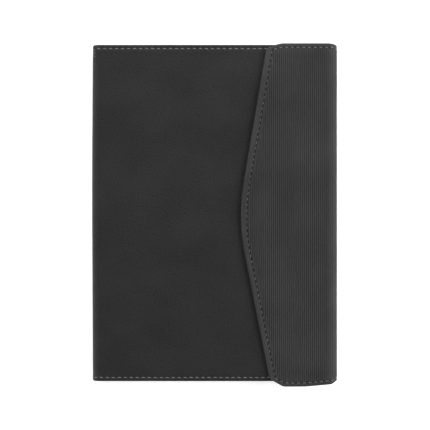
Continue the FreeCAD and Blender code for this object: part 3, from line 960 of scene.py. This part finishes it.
for look, slot, *dressed in (
        (cover_look, "cover_leather",
         (front_leather, "front_skin", "spine_fold_upper", "spine_skin"),
         (back_leather, "back_skin", "spine_fold_lower", "spine_skin")),
        (ribbed_look, "ribbed_leather",
         (tab_leather, "gusset_tab", "gusset_fold", "gusset_skin"),
         (flap_leather, "flap_skin", "flap_fold", "gusset_skin")),
        (cover_thread_look, "cover_thread",
         (front_stitches, "front_seam"), (back_stitches, "back_seam"),
         (front_inside,), (back_inside,)),
        (flap_thread_look, "flap_thread",
         (tab_stitches, "tab_seam"), (flap_stitches, "flap_seam"), (flap_inside,), (tab_inside,)),
        (lining_look, "lining_fabric",
         (front_cloth, "front_lining", "spine_lining"), (back_cloth, "back_lining", "spine_lining"),
         (tab_cloth, "back_lining", "gusset_lining"),
         (flap_cloth, "flap_lining", "gusset_lining"))):
    for piece, *nodes in dressed:
        dress(piece, look, slot, *nodes)

# the ends of each fold on the leather's outer face are worked out, and each piece's transform is
# baked into its mesh
for path, first, second, *pieces in (
        (front_path, "front_cover", "spine",
         front_leather, front_stitches, front_cloth, front_inside),
        (back_path, "spine", "back_cover", back_leather, back_stitches, back_cloth, back_inside),
        (tab_path, "back_cover", "gusset", tab_leather, tab_stitches, tab_cloth, tab_inside),
        (flap_path, "gusset", "flap", flap_leather, flap_stitches, flap_cloth, flap_inside)):
    start, end = path.place(path.bends()[0], 0, 0)
    for piece in pieces:
        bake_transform(piece)


# ---- pockets

POCKET_STEP = 6.0
POCKET_SEAM = 2.2
POCKET_PITCH = 3.2
NOTCH = 8.0


def mouth_notch(middle, y):
    """A thumb notch in a pocket's mouth, for an edge that runs towards lower s."""
    return [corner(middle + NOTCH + 3, y, 2.5, 0.5), corner(middle + NOTCH, y - NOTCH, 8.5, 0.8),
            corner(middle - NOTCH, y - NOTCH, 8.5, 0.8), corner(middle - NOTCH - 3, y, 2.5, 0.5)]


def fix_pocket(panel, sewn, node, body):
    dress(panel, pocket_look, "pocket_leather", node)
    dress(sewn, cover_thread_look, "cover_thread")
    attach(panel, body)
    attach(sewn, body)


def flat_pocket(name, node, lift):
    """A leather pocket on the inside of the front cover. A row of stitches runs all round it,
    and its mouth, at the head, stands off the lining by lift."""
    low, high = box(node)
    near, far = front_s(high.x), front_s(low.x)
    corners = [corner(near, low.y, 2.5, 1), corner(far, low.y, 2.5, 1), corner(far, high.y, 1.5, 1),
               *mouth_notch((near + far) / 2, high.y), corner(near, high.y, 1.5, 1)]
    face_depth, back_depth = TOP - low.z, TOP - high.z
    seam_line = outline(corners, POCKET_SEAM, True)
    seam = Seam(np.vstack([seam_line, seam_line[:1]]), POCKET_PITCH)

    def relief(points, distance):
        mouth = smooth((points[:, 1] - low.y) / (high.y - low.y)) * smooth(distance / 9)
        return lift * mouth + seam.relief(points, 0.08, 0.14, 0.03) * smooth(distance / 0.6 - 0.5)

    lines = cross_lines(np.arange(near + POCKET_STEP, far, POCKET_STEP), low.y, high.y, POCKET_STEP)
    profile = inner_profile(constant(face_depth), constant(back_depth), 0, 0.2)
    shell = Shell(front_path, [corners], profile, closed=True, facing=-1)
    pocket = shell.build(name, lines + seam.mesh_lines(), lines, relief)
    sewn = stitches(name + "_stitches", front_path, [seam], constant(face_depth - 0.05),
                    width=0.5, height=0.14, facing=-1)
    fix_pocket(pocket, sewn, node, "front_cover")


flat_pocket("document_pocket_leather", "document_pocket", 0.0)
flat_pocket("lower_card_slot_leather", "card_slot_lower", 0.18)
flat_pocket("upper_card_slot_leather", "card_slot_upper", 0.18)


def pad_pocket():
    """The panel that holds the pad's card: sewn down at the tail and the fore-edge, open on the
    other two sides, and standing clear of the lining by the card's thickness."""
    low, high = box("pad_pocket")
    first, last = back_s(low.x), back_s(high.x)
    corners = [corner(first, low.y, 1, 1), corner(last, low.y, 1, 1),
               corner(last, high.y, 1, 1), corner(first, high.y, 4, 1)]
    gap = high.z - low.z - LINING

    def lifted(s, y):
        return gap * smooth(np.minimum((y - low.y - 0.4) / 3.2, (last - s) / 1.2))

    def face(s, y):
        return low.z + LINING + lifted(s, y)

    tail_row, fore_row = low.y + 1.6, last - 0.35
    seams = [Seam([(first + 1, tail_row), (last - 1, tail_row)], POCKET_PITCH),
             Seam([(fore_row, low.y + 1), (fore_row, high.y - 1)], POCKET_PITCH)]

    def relief(points, distance):
        return seams[0].relief(points, 0.1, 0.16, 0.0) * smooth(distance / 0.8 - 0.5)

    lines = cross_lines(np.arange(first + POCKET_STEP, last - 2, POCKET_STEP), low.y, high.y, 4)
    lines += cross_lines(np.linspace(last - 1.3, last - 0.2, 5), low.y, high.y, POCKET_STEP)
    lines += [np.column_stack([np.linspace(first, last, 26), np.full(26, y)])
              for y in np.linspace(low.y + 0.6, low.y + 3.6, 6)]
    profile = inner_profile(face, lambda s, y: low.z + lifted(s, y), 0, 0.2)
    shell = Shell(back_path, [corners], profile, closed=True, facing=-1)
    panel = shell.build("pad_pocket_leather", lines + seams[0].mesh_lines(), lines, relief)
    sewn = stitches("pad_pocket_stitches", back_path, seams, lambda s, y: face(s, y) - 0.04,
                    width=0.45, height=0.12, facing=-1)
    fix_pocket(panel, sewn, "pad_pocket", "back_cover")


pad_pocket()


# ---- the writing pad

LEAVES = 49


def leaves():
    """The sheets of the pad, each a little out of line with the next."""
    low, high = box("page_block")
    pitch = (high.z - low.z) / LEAVES
    vertices, faces = [], []
    for k in range(LEAVES):
        slip, short = rng.uniform(-0.12, 0.12), rng.uniform(0, 0.22)
        bottom, top = low.z + pitch * k, low.z + pitch * (k + 0.86)
        left, right = low.x + 0.15 + slip, high.x - 0.15 + slip
        ring = [(left, low.y + short), (right - 1.2, low.y + short), (right, low.y + short + 1.2),
                (right, high.y), (left, high.y)]
        first, count = len(vertices), len(ring)
        vertices += [(x * MM, y * MM, z * MM) for z in (bottom, top) for x, y in ring]
        lower, upper = range(first, first + count), range(first + count, first + 2 * count)
        faces += [tuple(lower[::-1]), tuple(upper)]
        for i in range(count):
            j = (i + 1) % count
            faces.append((lower[i], lower[j], upper[j], upper[i]))
    mesh = bpy.data.meshes.new("pad_leaves")
    mesh.from_pydata(vertices, [], faces)
    return dress(new_object("pad_leaves", mesh), paper_look, "paper_sheets", "page_block")


def binding():
    """Cloth tape over the pad's head and down its end, with a rounded shoulder."""
    low, high = box("binding_tape")
    thick, radius = 0.3, 0.7

    def shoulder(reach):
        return [(high.y - radius + reach * math.cos(a), high.z - radius + reach * math.sin(a))
                for a in np.linspace(0, QUARTER, 7)]

    section = [(high.y, low.z), *shoulder(radius)]
    section += [(y, high.z) for y in np.linspace(high.y - radius - 1, low.y, 8)]
    section += [(low.y, high.z - thick), *reversed(shoulder(radius - thick)),
                (high.y - thick, low.z)]
    xs = np.linspace(low.x, high.x, 75)
    vertices = [(x, y, z + (0.05 * noise.noise(Vector((x / 6, y / 6, 3.0))) - 0.04) *
                 (1 if z > high.z - 0.05 else 0)) for x in xs for y, z in section]
    points = np.array(vertices)
    flat = np.column_stack([points[:, 0], points[:, 1] + points[:, 2]])
    tape = closed_object("pad_binding", points * MM, tube_faces(len(xs), len(section)), flat)
    return dress(tape, tape_look, "tape_cloth", "binding_tape")


for piece in (leaves(), binding()):
    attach(piece, "writing_pad")


# ---- boards, plates and magnets

for look, *nodes in (
        (board_look, "front_board", "back_board", "spine_board", "gusset_board", "flap_stiffener"),
        (card_look, "pad_card"), (steel_look, "catch_plates"), (nickel_look, "flap_magnets")):
    for node in nodes:
        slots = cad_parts[node].data.materials
        slots.clear()
        slots.append(look)


# ---- stage, light and camera

def area_light(name, place, size, power):
    data = bpy.data.lights.new(name, "AREA")
    data.shape = "RECTANGLE"
    data.size, data.size_y = size
    data.energy = power
    light = new_object(name, data)
    light.location = place
    light.rotation_euler = Vector(place).to_track_quat("Z", "Y").to_euler()
    light.visible_camera = False


def studio_floor():
    half, below = 4.0, -0.0002
    mesh = bpy.data.meshes.new("floor")
    mesh.from_pydata([(-half, -half, below), (half, -half, below), (half, half, below),
                      (-half, half, below)], [], [(0, 1, 2, 3)])
    floor = new_object("floor", mesh)
    look = Look("floor", 0.9, Specular_IOR_Level=0.1, Emission_Color=(1, 1, 1, 1))
    away = look.node("VectorMath", {0: look.object_place()}, operation="LENGTH")
    glow = look.span(away.outputs["Value"], 500, 1800, 0.4, 0.9)
    look.tree.links.new(glow, look.shader.inputs["Emission Strength"])
    look.colour(look.mix(look.noise(look.object_place(), 0.02), (0.93,) * 3, (0.95,) * 3))
    mesh.materials.append(look.material)


def studio_sky(levels):
    """A room that is white at the horizon and dimmer overhead: (height, brightness) pairs."""
    world = bpy.context.scene.world = bpy.data.worlds.new("studio")
    world.use_nodes = True
    nodes, links = world.node_tree.nodes, world.node_tree.links
    direction, split, ramp = (nodes.new("ShaderNode" + kind)
                              for kind in ("TexCoord", "SeparateXYZ", "ValToRGB"))
    stops = ramp.color_ramp.elements
    for _ in levels[2:]:
        stops.new(0.5)
    for stop, (height, brightness) in zip(stops, levels):
        stop.position = height
        stop.color = (brightness, brightness, brightness, 1)
    links.new(direction.outputs["Generated"], split.inputs[0])
    links.new(split.outputs["Z"], ramp.inputs["Fac"])
    links.new(ramp.outputs["Color"], nodes["Background"].inputs["Color"])


studio_floor()
studio_sky([(0.0, 1.0), (0.25, 0.25), (1.0, 0.13)])
for light in (("right_window", (0.70, 0.0, 0.26), (0.4, 1.1), 10.5),
              ("head_window", (0.0, 0.50, 0.36), (0.7, 0.35), 2.2),
              ("head_left_window", (-0.72, 0.66, 0.46), (0.6, 0.6), 5.8),
              ("tail_left_window", (-0.65, -0.72, 0.46), (0.6, 0.6), 6.3)):
    area_light(*light)

LENS = 180.0
SENSOR = 36.0
VIEW_WIDTH = 0.28105
VIEW_MIDDLE = (0.0001, -0.00015)
camera_data = bpy.data.cameras.new("camera")
camera_data.lens = LENS
camera_data.sensor_width = SENSOR
camera = new_object("camera", camera_data)
camera.location = (*VIEW_MIDDLE, TOP * MM + VIEW_WIDTH * LENS / SENSOR)
bpy.context.scene.camera = camera
bpy.context.scene.view_settings.view_transform = "Standard"
